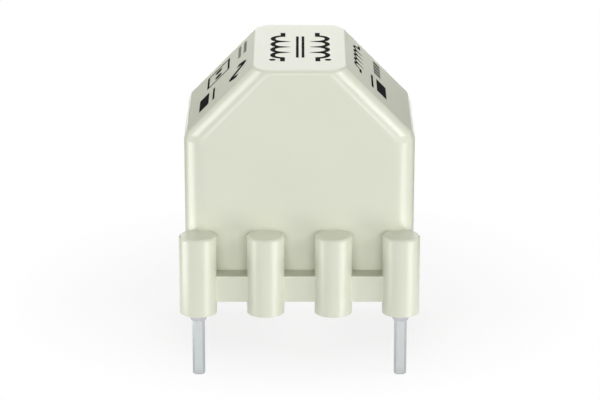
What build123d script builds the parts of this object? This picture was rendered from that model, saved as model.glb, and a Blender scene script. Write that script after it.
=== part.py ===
import os
from math import asin, cos, degrees, hypot, radians, sin

from build123d import *

os.makedirs("parts", exist_ok=True)

# Common mode choke for a circuit board: a ring core with two windings, potted in a moulded hood.
# Lengths are in mm. X runs along the terminal rows, Y from the front row to the rear row, Z up.
# The origin is the centre of the terminal grid, on the board plane that the barrels stand on.

# Terminal grid
barrel_pitch = 5.0
barrels_per_row = 4
row_spacing = 15.0

# Hood
hood_overhang = 1.0
hood_set_in = 1.0
hood_top = 18.25
rim_height = 0.9
shoulder_run = 5.1
shoulder_drop = 5.25
shoulder_bevel = 0.3
wall = 0.85
end_round = 1.55
crown_round = 0.3
cavity_round = 0.4

# Barrels and the bars that join them
barrel_radius = 1.38
barrel_height = 6.0
barrel_rim_bevel = 0.12
bar_top = 2.9
bar_stand_out = 0.4
bar_edge_round = 0.12

# Pins, square wire with flattened corners
pin_width = 0.92
pin_corner = 0.17
pin_reach = 4.9
pin_cap = 1.4
pin_tip_bevel = 0.12
pin_fit = 0.02

# Solder collar round each pin
collar_wall = 0.225
collar_corner = 0.36
collar_straight = 0.22
collar_height = 0.6
collar_foot_wall = 0.05

# Ring core, its axis along Y; it is as large as its winding leaves room for
core_inner_diameter = 7.0
core_edge_bevel = 0.4
coil_room = 0.6

# Windings; the section of the wire is drawn with wire_sides flats
wire_diameter = 0.6
wire_sides = 8
wire_bend = 0.45
winding_angle = 134.0
turn_gap = 0.1
wire_gap = 0.05
tail_room = 0.2
tail_set_in = 0.35
tail_lead_in = 0.6
tail_lift = 0.04
notch_room = 0.1

# Plate across the core's bore that keeps the windings apart
divider_thickness = 0.8
divider_fit = 0.02

# Potting resin
resin_recess = 0.7
resin_gap = 0.05

# Places that follow from the sizes above
row_y = row_spacing / 2
lead_spacing = barrel_pitch * (barrels_per_row - 1)
lead_x = lead_spacing / 2
hood_width = lead_spacing + 2 * hood_overhang
hood_depth = row_spacing - 2 * hood_set_in
shoulder_height = hood_top - shoulder_drop
bar_face = row_y + bar_stand_out
cavity_half_width = hood_width / 2 - wall
cavity_half_depth = hood_depth / 2 - wall
resin_level = rim_height + resin_recess
pin_seat = barrel_height - pin_cap
pin_inner_face = row_y - pin_width / 2
collar_width = pin_width + 2 * collar_wall

# The bevel takes the same length from a side and from the slope above it
slope_length = hypot(shoulder_run, shoulder_drop)
bevel_run = shoulder_bevel * shoulder_run / slope_length
bevel_rise = shoulder_bevel * shoulder_drop / slope_length

# The coil hangs just above the resin's level, and is as large as the sides, the top and the slopes allow
coil_foot = resin_level + coil_room
slope_moment = shoulder_drop * hood_width / 2 + shoulder_run * (shoulder_height - coil_foot)
slope_distance = slope_moment / slope_length
side_limit = cavity_half_width - coil_room
top_limit = (hood_top - wall - coil_room - coil_foot) / 2
slope_limit = (slope_distance - wall - coil_room) / (1 + shoulder_run / slope_length)
coil_radius = min(side_limit, top_limit, slope_limit)
core_height = coil_foot + coil_radius

# Wire ends, then the turns' straight legs, then the core that they leave room for
wire_radius = wire_diameter / 2
tail_x = lead_x - tail_set_in
tail_y = cavity_half_depth - tail_room - wire_radius
tail_z = wire_radius + tail_lift
leg_y = tail_y - wire_diameter - tail_room
core_length = 2 * (leg_y - wire_radius - wire_gap)
outer_leg_radius = coil_radius - wire_radius
core_outer_diameter = 2 * (outer_leg_radius - wire_radius - wire_gap)
inner_leg_radius = core_inner_diameter / 2 - wire_gap - wire_radius
turn_angle = 2 * degrees(asin((wire_diameter + turn_gap) / (2 * inner_leg_radius)))
turns = int(winding_angle / turn_angle) + 1
first_angle = -turn_angle * (turns - 1) / 2

# Corner positions, one for each pin
corners = {
    "front_left": (-lead_x, -row_y),
    "front_right": (lead_x, -row_y),
    "rear_left": (-lead_x, row_y),
    "rear_right": (lead_x, row_y),
}
sides = {"left": -1, "right": 1}


def cavity_outline():
    """Front view of the hood, moved inwards by the wall and open at the rim."""
    half_width = hood_width / 2
    crown_half = half_width - shoulder_run
    with BuildSketch() as outline:
        with BuildLine():
            Polyline(
                (-half_width, rim_height - wall),
                (-half_width, shoulder_height),
                (-crown_half, hood_top),
                (crown_half, hood_top),
                (half_width, shoulder_height),
                (half_width, rim_height - wall),
                close=True,
            )
        make_face()
        offset(amount=-wall, kind=Kind.INTERSECTION)
    return outline.sketch


def leaning_zone(foot, run, rise):
    """Hood above the face foot: its long sides lean in by run over this rise, its ends stay as round."""
    length = hypot(run, rise)
    with BuildPart() as leaning_right:
        extrude(foot, amount=length, dir=(run, 0, rise))
    with BuildPart() as zone:
        extrude(foot, amount=length, dir=(-run, 0, rise))
        add(leaning_right.part, mode=Mode.INTERSECT)
    return zone.part


def pin_section(fit):
    """Square with flattened corners, grown by fit on each side."""
    with BuildSketch() as section:
        Rectangle(pin_width + 2 * fit, pin_width + 2 * fit)
        chamfer(section.vertices(), pin_corner)
    return section.sketch


def coil_point(side, angle, radius, y):
    """Point on a circle round the core's axis; angle rises from the level line at that side."""
    x = side * radius * cos(radians(angle))
    z = core_height + radius * sin(radians(angle))
    return (x, y, z)


def tail_points(side, end, angle, low):
    """Wire end between the coil's face and the hood: up from the height low, then across to a turn."""
    inner = coil_point(side, angle, inner_leg_radius, end * tail_y)
    return [(side * tail_x, end * tail_y, low), (side * tail_x, end * tail_y, inner[2]), inner]


def lead_points(side, end):
    """Wire end at its pin: from the middle of the pin's inner face, then on towards the tail."""
    start = (side * lead_x, end * pin_inner_face, tail_z)
    return [start, (side * lead_x, end * (pin_inner_face - tail_lead_in), tail_z)]


def cut_corners(points):
    """Route with a short straight run across each of its corners."""
    route = [Vector(points[0])]
    for before, corner, after in zip(points, points[1:], points[2:]):
        bend = Vector(corner)
        route.append(bend + (Vector(before) - bend).normalized() * wire_bend)
        route.append(bend + (Vector(after) - bend).normalized() * wire_bend)
    route.append(Vector(points[-1]))
    return route


def wire(points, radius):
    """Wire along straight runs, mitred where they meet."""
    with BuildPart() as length:
        with BuildLine() as route:
            Polyline(*cut_corners(points))
        with BuildSketch(Plane(origin=route.line @ 0, z_dir=route.line % 0)):
            RegularPolygon(radius, wire_sides)
        sweep(path=route.line, transition=Transition.RIGHT)
    return length.part


# Space inside the hood, open at the rim: the shape that the resin fills
with BuildPart() as cavity:
    with BuildSketch(Plane.XZ):
        add(cavity_outline())
    extrude(amount=cavity_half_depth, both=True)
    end_faces = cavity.faces().filter_by(Axis.Y)
    upper_edges = end_faces.edges().filter_by(lambda edge: edge.center().Z > rim_height)
    fillet(upper_edges, cavity_round)

# One barrel at the origin
with BuildPart() as barrel:
    with BuildSketch(Plane.XY):
        Circle(barrel_radius)
    extrude(amount=barrel_height)
    chamfer(barrel.edges().sort_by(Axis.Z)[-1], barrel_rim_bevel)

# Hood with its barrels and bars, one moulding
with BuildPart() as case:
    with BuildSketch(Plane.XY.offset(rim_height)):
        RectangleRounded(hood_width, hood_depth, end_round)
    extrude(amount=shoulder_height - shoulder_bevel - rim_height)
    side_top = case.faces().sort_by(Axis.Z)[-1]
    add(leaning_zone(side_top, bevel_run, shoulder_bevel + bevel_rise))
    slope_foot = case.faces().sort_by(Axis.Z)[-1]
    add(leaning_zone(slope_foot, shoulder_run - bevel_run, shoulder_drop - bevel_rise))
    crown = case.faces().sort_by(Axis.Z)[-1]
    fillet(crown.edges(), crown_round)

    # Bars
    bar_depth = bar_face - cavity_half_depth
    with BuildSketch(Plane.XY.offset(rim_height)):
        with GridLocations(0, 2 * bar_face - bar_depth, 1, 2):
            Rectangle(lead_spacing, bar_depth)
    extrude(amount=bar_top - rim_height)
    bar_edges = case.edges().filter_by(Axis.X).filter_by_position(Axis.Z, bar_top, bar_top)
    fillet(bar_edges.filter_by(lambda edge: abs(edge.center().Y) > row_y), bar_edge_round)

    # Barrels
    with GridLocations(barrel_pitch, row_spacing, barrels_per_row, 2):
        add(barrel.part)

    # Inside, pin sockets and the notches that let the wires reach the pins
    add(cavity.part, mode=Mode.SUBTRACT)
    with BuildSketch(Plane.XY):
        with GridLocations(lead_spacing, row_spacing, 2, 2):
            add(pin_section(pin_fit))
    extrude(amount=pin_seat, mode=Mode.SUBTRACT)
    notch_height = tail_z + wire_radius + notch_room
    notch_length = barrel_radius
    notch_width = tail_set_in + wire_diameter + 2 * notch_room
    with BuildSketch(Plane.XY):
        with GridLocations(lead_x + tail_x, row_spacing - notch_length, 2, 2):
            Rectangle(notch_width, notch_length)
    extrude(amount=notch_height, mode=Mode.SUBTRACT)
case.part.label = "case"
export_step(case.part, "parts/case.step")

# Ring core
with BuildPart() as ring_core:
    with BuildSketch(Plane.XZ):
        with Locations((0, core_height)):
            Circle(core_outer_diameter / 2)
            Circle(core_inner_diameter / 2, mode=Mode.SUBTRACT)
    extrude(amount=core_length / 2, both=True)
    chamfer(ring_core.edges().filter_by(GeomType.CIRCLE), core_edge_bevel)
ring_core.part.label = "ring_core"
export_step(ring_core.part, "parts/ring_core.step")

# Divider, held by its rounded ends in the core's bore
with BuildPart() as divider:
    with BuildSketch(Plane.XZ):
        with Locations((0, core_height)):
            Rectangle(divider_thickness, core_inner_diameter)
            Circle(core_inner_diameter / 2 - divider_fit, mode=Mode.INTERSECT)
    extrude(amount=core_length / 2, both=True)
divider.part.label = "divider"
export_step(divider.part, "parts/divider.step")

# Windings: each is one wire, from its front pin round the core turn by turn to its rear pin
for name, side in sides.items():
    last_angle = -first_angle
    points = lead_points(side, -1)
    points += tail_points(side, -1, first_angle, tail_z)
    for turn in range(turns - 1):
        angle = first_angle + turn * turn_angle
        points.append(coil_point(side, angle, inner_leg_radius, leg_y))
        points.append(coil_point(side, angle + turn_angle / 2, outer_leg_radius, leg_y))
        points.append(coil_point(side, angle + turn_angle / 2, outer_leg_radius, -leg_y))
        points.append(coil_point(side, angle + turn_angle, inner_leg_radius, -leg_y))
    points += reversed(lead_points(side, 1) + tail_points(side, 1, last_angle, tail_z))
    with BuildPart() as winding:
        add(wire(points, wire_radius))
    winding.part.label = f"winding_{name}"
    export_step(winding.part, f"parts/winding_{name}.step")

# Resin that fills the hood round the coil
with BuildPart() as potting:
    add(cavity.part)
    split(bisect_by=Plane.XY.offset(resin_level), keep=Keep.TOP)
    with BuildSketch(Plane.XZ):
        with Locations((0, core_height)):
            Circle(outer_leg_radius + wire_radius + resin_gap)
            Circle(inner_leg_radius - wire_radius - resin_gap, mode=Mode.SUBTRACT)
    extrude(amount=leg_y + wire_radius + resin_gap, both=True, mode=Mode.SUBTRACT)
    add(divider.part, mode=Mode.SUBTRACT)
    for side in sides.values():
        for end in (-1, 1):
            angle = first_angle if end < 0 else -first_angle
            points = tail_points(side, end, angle, rim_height)
            points.append(coil_point(side, angle, inner_leg_radius, end * core_length / 2))
            add(wire(points, wire_radius + resin_gap), mode=Mode.SUBTRACT)
potting.part.label = "potting"
export_step(potting.part, "parts/potting.step")

# Pins and their solder collars
for name, (x, y) in corners.items():
    with BuildPart() as pin:
        with BuildSketch(Plane.XY.offset(-pin_reach)):
            with Locations((x, y)):
                add(pin_section(0))
        extrude(amount=pin_reach + pin_seat)
        tip = pin.faces().sort_by(Axis.Z)[0]
        chamfer(tip.edges(), pin_tip_bevel)
    pin.part.label = f"pin_{name}"
    export_step(pin.part, f"parts/pin_{name}.step")

    with BuildPart() as solder:
        with BuildSketch(Plane.XY) as collar_top:
            with Locations((x, y)):
                Rectangle(collar_width, collar_width)
            chamfer(collar_top.vertices(), collar_corner)
        extrude(amount=-collar_straight)
        with BuildSketch(Plane.XY.offset(-collar_straight)):
            add(collar_top.sketch.faces()[0])
        with BuildSketch(Plane.XY.offset(-collar_height)):
            with Locations((x, y)):
                add(pin_section(collar_foot_wall))
        loft(ruled=True)
        with BuildSketch(Plane.XY.offset(-collar_height)):
            with Locations((x, y)):
                add(pin_section(0))
        extrude(amount=collar_height, mode=Mode.SUBTRACT)
    solder.part.label = f"solder_{name}"
    export_step(solder.part, f"parts/solder_{name}.step")
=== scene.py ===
from math import cos, pi, radians, sin

import bmesh
import bpy
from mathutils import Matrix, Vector


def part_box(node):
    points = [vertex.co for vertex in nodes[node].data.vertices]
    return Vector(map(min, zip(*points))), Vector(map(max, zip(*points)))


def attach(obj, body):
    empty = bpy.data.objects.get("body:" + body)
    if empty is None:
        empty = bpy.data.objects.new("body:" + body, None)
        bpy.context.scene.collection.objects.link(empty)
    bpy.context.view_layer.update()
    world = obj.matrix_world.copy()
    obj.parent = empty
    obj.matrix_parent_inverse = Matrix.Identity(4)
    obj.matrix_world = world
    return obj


# Common mode choke for a circuit board: a potted ring core coil in a pale moulded hood.
# Sizes are in mm and are turned to metres by MM where they meet Blender.
MM = 0.001

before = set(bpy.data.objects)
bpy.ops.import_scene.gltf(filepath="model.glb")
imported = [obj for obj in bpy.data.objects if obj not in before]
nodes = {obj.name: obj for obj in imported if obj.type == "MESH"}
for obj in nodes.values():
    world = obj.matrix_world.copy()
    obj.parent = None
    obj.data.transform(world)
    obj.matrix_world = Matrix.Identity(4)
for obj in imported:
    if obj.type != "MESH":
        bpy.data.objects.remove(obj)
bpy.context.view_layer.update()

# Photograph's frame and the camera fitted to it
image_width = 600
focal_length_px = 2928.5
centre_shift_px = 0.5
sensor_width = 36.0
camera_pitch = 18.66
camera_back = 210.82
camera_height = 77.38
nearest_seen = 10
farthest_seen = 10000

# Hood
shoulder_run = 5.1
shoulder_drop = 5.25
hood_half_width = 8.5
hood_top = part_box("case")[1].z / MM
crown_half = hood_half_width - shoulder_run

# Printed ink: how far it stands out of the plastic and how deep it reaches in
ink_height = 0.01
ink_root = 0.02

# Stage: the card that the pins stand on, and the point that lamps and flags face
floor_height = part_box("pin_front_left")[0].z / MM
card_side = 48
card_back = 10
shadow_reach = 12
shadow_glow = 0.8
aim_height = 8
fill_level = 0.05

# A noise texture mostly stays between these two values
noise_low = 0.3
noise_high = 0.7

# Corners of a square of side 2, in order round it
square_corners = ((-1, -1), (1, -1), (1, 1), (-1, 1))


# Colours and nodes

def linear(colour):
    """Turns an sRGB hex colour into the linear values that a shader takes."""
    parts = [int(colour[i:i + 2], 16) / 255 for i in (1, 3, 5)]
    return [c / 12.92 if c <= 0.04045 else ((c + 0.055) / 1.055) ** 2.4 for c in parts] + [1.0]


def add_node(tree, kind, settings=None, inputs=None):
    """Adds a node with its settings. An input is a plain value, or the output that feeds it."""
    node = tree.nodes.new(kind)
    for name, value in (settings or {}).items():
        setattr(node, name, value)
    for name, value in (inputs or {}).items():
        if isinstance(value, bpy.types.NodeSocket):
            tree.links.new(value, node.inputs[name])
        else:
            node.inputs[name].default_value = value
    return node


def start_material(name):
    """Makes a material and returns it with its node tree and its shader."""
    material = bpy.data.materials.new(name)
    material.use_nodes = True
    return material, material.node_tree, material.node_tree.nodes["Principled BSDF"]


def unevenness(tree, size, detail=2.0, stretch=(1, 1, 1)):
    """Lumps about size mm across on the piece itself, drawn out along an axis with a small stretch."""
    place = add_node(tree, "ShaderNodeTexCoord").outputs["Object"]
    scaled = add_node(tree, "ShaderNodeMapping", {}, {"Vector": place, "Scale": stretch})
    lumps = {"Vector": scaled.outputs["Vector"], "Scale": 1 / (size * MM), "Detail": detail}
    return add_node(tree, "ShaderNodeTexNoise", {}, lumps).outputs["Fac"]


def tint(tree, shader, lumps, first, second):
    """Lets the surface's colour drift between two hex colours."""
    share = {"Value": lumps, "From Min": noise_low, "From Max": noise_high}
    drift = add_node(tree, "ShaderNodeMapRange", {}, share).outputs["Result"]
    ends = {"Fac": drift, "Color1": linear(first), "Color2": linear(second)}
    colour = add_node(tree, "ShaderNodeMixRGB", {}, ends).outputs["Color"]
    tree.links.new(colour, shader.inputs["Base Color"])


def vary_gloss(tree, shader, lumps, low, high):
    """Lets the surface's roughness drift between two values."""
    share = {"Value": lumps, "From Min": noise_low, "From Max": noise_high, "To Min": low, "To Max": high}
    roughness = add_node(tree, "ShaderNodeMapRange", {}, share).outputs["Result"]
    tree.links.new(roughness, shader.inputs["Roughness"])


def raise_relief(tree, shader, lumps, depth):
    """Makes the surface rise and fall by depth mm, for the light only."""
    relief = add_node(tree, "ShaderNodeBump", {}, {"Height": lumps, "Distance": depth * MM, "Strength": 1.0})
    tree.links.new(relief.outputs["Normal"], shader.inputs["Normal"])


def rays_that_see(tree):
    """1 for the rays that see the white studio, in the picture or mirrored, and 0 for the others."""
    path = add_node(tree, "ShaderNodeLightPath").outputs
    seen = path["Is Camera Ray"]
    for ray in ("Is Glossy Ray", "Is Transmission Ray"):
        either = add_node(tree, "ShaderNodeMath", {"operation": "MAXIMUM"}, {0: seen, 1: path[ray]})
        seen = either.outputs["Value"]
    return seen


# Materials

def moulded_pbt(name):
    """Glass-filled PBT from a lightly eroded mould: pale ivory green with a soft, broad gloss."""
    material, tree, shader = start_material(name)
    tint(tree, shader, unevenness(tree, 5.0), "#D4D7C5", "#D2D5C3")
    vary_gloss(tree, shader, unevenness(tree, 0.6, detail=3.0), 0.3, 0.33)
    shader.inputs["IOR"].default_value = 1.56
    # The mould's pits are about 0.03 mm across. They are drawn coarser, so that they show.
    raise_relief(tree, shader, unevenness(tree, 0.12, detail=3.0), 0.0002)
    return material


def cast_resin(name):
    """Filled epoxy, poured and cured: dark grey, smooth, with slow waves where it levelled."""
    material, tree, shader = start_material(name)
    tint(tree, shader, unevenness(tree, 1.5, detail=4.0), "#3B3A38", "#45433F")
    vary_gloss(tree, shader, unevenness(tree, 0.4), 0.28, 0.42)
    shader.inputs["IOR"].default_value = 1.53
    raise_relief(tree, shader, unevenness(tree, 3.5, detail=1.0), 0.06)
    return material


def coated_ferrite(name):
    """Ferrite ring in fluidised epoxy: a glossy green coat with a faint orange peel."""
    material, tree, shader = start_material(name)
    tint(tree, shader, unevenness(tree, 2.0), "#3C7A58", "#46855F")
    vary_gloss(tree, shader, unevenness(tree, 0.5), 0.22, 0.3)
    raise_relief(tree, shader, unevenness(tree, 0.5, detail=1.0), 0.008)
    return material


def enamelled_copper(name):
    """Copper wire under a clear amber enamel: metal colour with a sharp second gloss on top."""
    material, tree, shader = start_material(name)
    tint(tree, shader, unevenness(tree, 1.2), "#C06A34", "#B25C2B")
    vary_gloss(tree, shader, unevenness(tree, 0.3), 0.24, 0.34)
    shader.inputs["Metallic"].default_value = 1.0
    shader.inputs["Coat Weight"].default_value = 1.0
    shader.inputs["Coat Roughness"].default_value = 0.08
    shader.inputs["Coat IOR"].default_value = 1.6
    return material


def tinned_wire(name):
    """Square wire, drawn and hot tinned: bright grey metal with fine lines along its length."""
    material, tree, shader = start_material(name)
    tint(tree, shader, unevenness(tree, 0.5, detail=3.0), "#B9BDBE", "#B5B9BA")
    # Drawing lines are a few hundredths of a millimetre apart, and about 30 times as long.
    drawing_lines = unevenness(tree, 0.05, stretch=(1, 1, 0.03))
    vary_gloss(tree, shader, drawing_lines, 0.29, 0.32)
    raise_relief(tree, shader, drawing_lines, 0.0002)
    shader.inputs["Metallic"].default_value = 1.0
    return material


def bright_solder(name):
    """Tin solder that froze as it ran: brighter than the pin, with shallow ripples."""
    material, tree, shader = start_material(name)
    tint(tree, shader, unevenness(tree, 0.3, detail=3.0), "#C9CACF", "#C1C2C9")
    vary_gloss(tree, shader, unevenness(tree, 0.2), 0.12, 0.18)
    shader.inputs["Metallic"].default_value = 1.0
    raise_relief(tree, shader, unevenness(tree, 0.35, detail=1.0), 0.001)
    return material


def printing_ink(name):
    """Pad printing ink: flat black, a little thinner in patches."""
    material, tree, shader = start_material(name)
    cover = unevenness(tree, 0.25, detail=4.0)
    tint(tree, shader, cover, "#070708", "#0F0F10")
    # The thin patches, which are paler, are also the rougher ones.
    thin_share = {"Value": cover, "From Min": noise_low, "From Max": noise_high}
    thinness = add_node(tree, "ShaderNodeMapRange", {}, thin_share).outputs["Result"]
    vary_gloss(tree, shader, thinness, 0.6, 0.75)
    shader.inputs["Specular IOR Level"].default_value = 0.02
    return material


def white_card(name):
    """Card under the part: plain white that keeps a soft shadow and melts into the white studio."""
    material, tree, shader = start_material(name)
    shader.inputs["Base Color"].default_value = linear("#F4F4F4")
    shader.inputs["Roughness"].default_value = 0.9
    place = add_node(tree, "ShaderNodeTexCoord").outputs["Object"]
    reach = add_node(tree, "ShaderNodeVectorMath", {"operation": "LENGTH"}, {0: place}).outputs["Value"]
    # The card's own glow rises to the studio's white towards its rim, so no rim shows.
    fade = {
        "Value": reach,
        "From Min": shadow_reach * MM,
        "From Max": card_side / 2 * MM,
        "To Min": shadow_glow,
        "To Max": 1.0,
    }
    glow_share = add_node(tree, "ShaderNodeMapRange", {}, fade).outputs["Result"]
    sight = {0: rays_that_see(tree), 1: glow_share}
    share = add_node(tree, "ShaderNodeMath", {"operation": "MULTIPLY"}, sight).outputs["Value"]
    glow = add_node(tree, "ShaderNodeEmission", {}, {"Color": linear("#FFFFFF"), "Strength": 1.0})
    layers = {"Fac": share, 1: shader.outputs["BSDF"], 2: glow.outputs["Emission"]}
    card = add_node(tree, "ShaderNodeMixShader", {}, layers).outputs["Shader"]
    tree.links.new(card, tree.nodes["Material Output"].inputs["Surface"])
    return material


def flag_cloth(name):
    """Black flag cloth: soaks up light."""
    material, _, shader = start_material(name)
    shader.inputs["Base Color"].default_value = linear("#0A0A0A")
    shader.inputs["Roughness"].default_value = 1.0
    return material


# Finishes of the solid pieces

def dress(names, material):
    """Gives CAD nodes a material in place of their plain one."""
    for name in names:
        slots = nodes[name].data.materials
        slots.clear()
        slots.append(material)


corners = ("front_left", "front_right", "rear_left", "rear_right")
dress(["case", "divider"], moulded_pbt("moulded_pbt"))
dress(["potting"], cast_resin("cast_resin"))
dress(["ring_core"], coated_ferrite("coated_ferrite"))
dress(["winding_left", "winding_right"], enamelled_copper("enamelled_copper"))
dress(["pin_" + corner for corner in corners], tinned_wire("tinned_wire"))
dress(["solder_" + corner for corner in corners], bright_solder("bright_solder"))


# Printed marks. On each face u runs along the hood's depth, towards the rear, and v runs across.

def on_crown(u, v, height):
    """Point on the hood's flat top: v to the right."""
    return Vector((v, u, hood_top + height)) * MM


def on_shoulder(side):
    """Returns the placing function of the slope on one side, -1 or 1: v down from the crown's edge."""
    length = (shoulder_run ** 2 + shoulder_drop ** 2) ** 0.5
    down = Vector((side * shoulder_run, 0, -shoulder_drop)) / length
    out = Vector((side * shoulder_drop, 0, shoulder_run)) / length
    edge = Vector((side * crown_half, 0, hood_top))

    def place(u, v, height):
        return (edge + Vector((0, u, 0)) + down * v + out * height) * MM

    return place


def add_slab(mesh, place, quads):
    """Adds a thin closed layer of ink whose top is made of these quads, in order along a line."""
    same_place_digits = 5
    levels = []
    for height in (-ink_root, ink_height):
        seen = {}
        faces = []
        for quad in quads:
            corner_points = []
            for point in quad:
                key = (round(point[0], same_place_digits), round(point[1], same_place_digits))
                if key not in seen:
                    seen[key] = mesh.verts.new(place(*point, height))
                corner_points.append(seen[key])
            faces.append(mesh.faces.new(dict.fromkeys(corner_points)))
        levels.append((seen, faces))
    (low, _), (high, high_faces) = levels
    rim = [edge for face in high_faces for edge in face.edges if len(edge.link_faces) == 1]
    to_key = {vert: key for key, vert in high.items()}
    for edge in rim:
        a, b = (to_key[vert] for vert in edge.verts)
        mesh.faces.new((high[a], high[b], low[b], low[a]))


def line_quads(points, width, closed=False):
    """Quads of a line of this width through the points, mitred at its turns."""
    sharpest_mitre = 0.3
    count = len(points)
    rails = []
    for i, point in enumerate(points):
        before = points[i - 1] if i or closed else None
        after = points[(i + 1) % count] if i < count - 1 or closed else None
        here = Vector(point)
        ahead = (Vector(after) - here).normalized() if after else (here - Vector(before)).normalized()
        behind = (here - Vector(before)).normalized() if before else ahead
        across = Vector((-(ahead.y + behind.y), ahead.x + behind.x)).normalized()
        reach = width / 2 / max(sharpest_mitre, across.dot(Vector((-ahead.y, ahead.x))))
        rails.append((here + across * reach, here - across * reach))
    if closed:
        rails.append(rails[0])
    return [(a[0], a[1], b[1], b[0]) for a, b in zip(rails, rails[1:])]


def box_points(u, v, length, height):
    """Corners of a rectangle with its middle at u, v."""
    return [(u + du * length / 2, v + dv * height / 2) for du, dv in square_corners]


def disc_quads(u, v, radius):
    """Round dot, as strips across it."""
    strips = 10
    ends = []
    for i in range(strips + 1):
        angle = pi * i / strips
        ends.append((u - radius * cos(angle), radius * sin(angle)))
    quads = []
    for (u_near, half_near), (u_far, half_far) in zip(ends, ends[1:]):
        left_side = ((u_near, v - half_near), (u_far, v - half_far))
        right_side = ((u_far, v + half_far), (u_near, v + half_near))
        quads.append(left_side + right_side)
    return quads


def winding_points(u, v, humps, pitch, lead, lift):
    """Winding of a circuit symbol: a straight lead, half circles side by side, a straight lead."""
    steps = 10
    same_point = 1e-6
    start = u - humps * pitch / 2
    points = [(start - lead, v)]
    for hump in range(humps):
        middle = start + (hump + 0.5) * pitch
        for i in range(steps + 1):
            angle = pi * i / steps
            points.append((middle - pitch / 2 * cos(angle), v + lift * pitch / 2 * sin(angle)))
    points.append((start + humps * pitch + lead, v))
    kept = points[:1]
    for last, point in zip(points, points[1:]):
        if (Vector(point) - Vector(last)).length > same_point:
            kept.append(point)
    return kept


def print_marks(name, place, marks, ink):
    """Makes one piece of ink from its marks, each a list of quads."""
    mesh = bmesh.new()
    for quads in marks:
        add_slab(mesh, place, quads)
    bmesh.ops.recalc_face_normals(mesh, faces=mesh.faces)
    data = bpy.data.meshes.new(name)
    mesh.to_mesh(data)
    mesh.free()
    piece = bpy.data.objects.new(name, data)
    bpy.context.scene.collection.objects.link(piece)
    data.materials.append(ink)
    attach(piece, "root")


black_ink = printing_ink("printing_ink")
fine_line = 0.2
block_width = 1.0

# Circuit symbol on the crown: two windings with the core's two lines between them, and a dot
# at the start of each winding
crown_coil_line = 0.36
crown_coil = {"u": 0, "humps": 4, "pitch": 1.5, "lead": 0.9}
core_line_end = 2.9
crown_dot_start = -3.5
crown_dot_radius = 0.24
crown_marks = [line_quads(winding_points(v=-1.25, lift=-1, **crown_coil), crown_coil_line)]
for core_line in (-0.16, 0.26):
    crown_marks.append(line_quads([(-core_line_end, core_line), (core_line_end, core_line)], fine_line))
crown_marks.append(line_quads(winding_points(v=1.35, lift=1, **crown_coil), crown_coil_line))
for dot in (-2.0, 2.1):
    crown_marks.append(disc_quads(crown_dot_start, dot, crown_dot_radius))
print_marks("print_crown", on_crown, crown_marks, black_ink)

# Block and line, a wave, a frame round two dots and two rows of small squares on the left slope
wave_start = -3.4
wave_middle = 1.7
wave_height = 0.65
wave_steps = 20
wave_step = 0.12
wave_line = 0.5
frame_middle = (2.4, 3.9)
frame_size = (2.7, 2.2)
frame_dot_offset = 0.6
frame_dot_radius = 0.35
first_square = (1.2, 1.0)
square_columns = 5
square_rows = 2
square_pitch = 0.6
square_side = 0.3
left_marks = [
    line_quads([(-3.25, 5.3), (-0.4, 5.3)], block_width),
    line_quads([(-3.4, 4.27), (-0.5, 4.27)], fine_line),
]
wave = []
for i in range(wave_steps + 1):
    rise = wave_height * sin(2 * pi * i / wave_steps)
    wave.append((wave_start + i * wave_step, wave_middle + rise))
left_marks.append(line_quads(wave, wave_line))
left_marks.append(line_quads(box_points(*frame_middle, *frame_size), fine_line, closed=True))
for offset in (-frame_dot_offset, frame_dot_offset):
    left_marks.append(disc_quads(frame_middle[0] + offset, frame_middle[1], frame_dot_radius))
for column in range(square_columns):
    for row in range(square_rows):
        start = first_square[0] + square_pitch * column
        middle = first_square[1] + square_pitch * row
        left_marks.append(line_quads([(start, middle), (start + square_side, middle)], square_side))
print_marks("print_left", on_shoulder(-1), left_marks, black_ink)

# Block and line, a winding and four dashes on the right slope
shoulder_coil_line = 0.22
dash_count = 4
first_dash = (1.0, 3.5)
dash_pitch = 0.85
dash_length = 0.45
dash_width = 0.7
right_marks = [
    line_quads([(-3.3, 3.85), (-0.3, 3.85)], block_width),
    line_quads([(-3.6, 2.87), (-0.45, 2.87)], fine_line),
    line_quads(winding_points(u=0.6, v=1.6, humps=5, pitch=1.1, lead=0.8, lift=-1), shoulder_coil_line),
]
for dash in range(dash_count):
    start = first_dash[0] + dash_pitch * dash
    middle = first_dash[1]
    right_marks.append(line_quads([(start, middle), (start + dash_length, middle)], dash_width))
print_marks("print_right", on_shoulder(1), right_marks, black_ink)


# Lamps, flags and floor

def face_part(holder, azimuth, elevation, distance):
    """Sets a lamp or flag round the part, facing it. Azimuth 0 is the camera's side, 90 the right."""
    turn = radians(azimuth)
    rise = radians(elevation)
    toward = Vector((sin(turn) * cos(rise), -cos(turn) * cos(rise), sin(rise)))
    holder.location = (Vector((0, 0, aim_height)) + toward * distance) * MM
    holder.rotation_euler = toward.to_track_quat("Z", "Y").to_euler()
    holder.visible_camera = False
    bpy.context.scene.collection.objects.link(holder)


def softbox(name, azimuth, elevation, distance, width, height, level):
    """Soft lamp. Level 1 is the glow of white paper."""
    lamp = bpy.data.lights.new(name, "AREA")
    lamp.shape = "RECTANGLE"
    lamp.size = width * MM
    lamp.size_y = height * MM
    lamp.energy = level * pi * lamp.size * lamp.size_y
    face_part(bpy.data.objects.new(name, lamp), azimuth, elevation, distance)


def flat_panel(name, width, height, material):
    """Flat rectangle with its middle at the origin, for the floor and the flags."""
    data = bpy.data.meshes.new(name)
    corner_points = [(x * width / 2 * MM, y * height / 2 * MM, 0) for x, y in square_corners]
    data.from_pydata(corner_points, [], [(0, 1, 2, 3)])
    data.materials.append(material)
    return bpy.data.objects.new(name, data)


def shade_flag(name, azimuth, cloth):
    """Flag behind the part, out of the picture, that keeps the white studio off one slope."""
    flag = flat_panel(name, flag_width, flag_height, cloth)
    face_part(flag, azimuth, flag_elevation, flag_distance)


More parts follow.
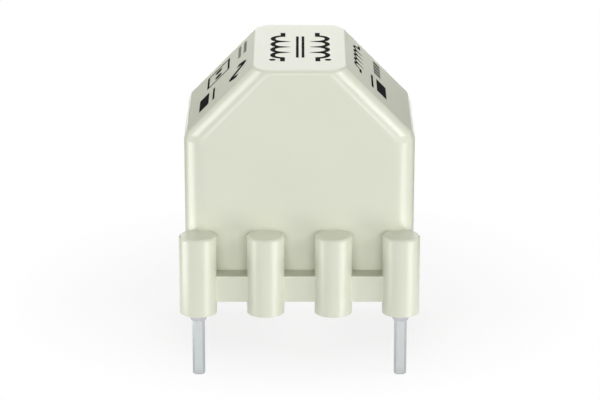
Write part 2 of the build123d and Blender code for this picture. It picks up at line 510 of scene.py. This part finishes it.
# Distances in mm, and the elevations in degrees at which the side lamps and the flags stand
front_distance = 300
overhead_distance = 240
back_distance = 230
side_distance = 260
side_low = -17
side_high = 27
flag_distance = 240
flag_azimuth = 143
flag_elevation = -7
flag_width = 260
flag_height = 180

# After each lamp's azimuth, elevation and distance come its width and height in mm and its level.
# The front lamp lights the faces that the camera sees. The overhead one leans back, which leaves
# the barrels' tops partly in the hood's shade. The back ones light the rear, and the upper one's
# gleam lies on the crown. The low side lamps draw the bright lines down the barrels and the
# hood's upright corners, and the high ones draw those along the slanted edges.
softbox("lamp_front", 0, 6, front_distance, 320, 160, 3.75)
softbox("lamp_overhead", 0, 112, overhead_distance, 150, 80, 4.5)
softbox("lamp_back_high", 180, 14, back_distance, 110, 120, 1.2)
softbox("lamp_back_low", 180, -14, back_distance, 110, 100, 5.0)
softbox("lamp_left_low", -82, side_low, side_distance, 180, 110, 4.2)
softbox("lamp_left_high", -84, side_high, side_distance, 190, 65, 7.4)
softbox("lamp_right_low", 56, side_low, side_distance, 160, 110, 4.0)
softbox("lamp_right_high", 74, side_high, side_distance, 190, 65, 8.0)

black_cloth = flag_cloth("flag_cloth")
shade_flag("flag_left", -flag_azimuth, black_cloth)
shade_flag("flag_right", flag_azimuth, black_cloth)

floor = flat_panel("floor", card_side, card_side, white_card("white_card"))
floor.location = (0, card_back * MM, floor_height * MM)
bpy.context.scene.collection.objects.link(floor)

# White studio: full strength where it is seen, and a faint fill for everything else
world = bpy.data.worlds.new("studio")
bpy.context.scene.world = world
world.use_nodes = True
studio = world.node_tree
backdrop = studio.nodes["Background"]
backdrop.inputs["Color"].default_value = linear("#FFFFFF")
sight = {"Value": rays_that_see(studio), "To Min": fill_level, "To Max": 1.0}
strength = add_node(studio, "ShaderNodeMapRange", {}, sight).outputs["Result"]
studio.links.new(strength, backdrop.inputs["Strength"])


# Camera

lens = bpy.data.cameras.new("camera")
lens.sensor_width = sensor_width
lens.lens = focal_length_px / image_width * sensor_width
lens.shift_x = centre_shift_px / image_width
lens.clip_start = nearest_seen * MM
lens.clip_end = farthest_seen * MM
camera = bpy.data.objects.new("camera", lens)
camera.location = (0, -camera_back * MM, camera_height * MM)
camera.rotation_euler = (radians(90 - camera_pitch), 0, 0)
bpy.context.scene.collection.objects.link(camera)
bpy.context.scene.camera = camera
bpy.context.scene.view_settings.view_transform = "Standard"
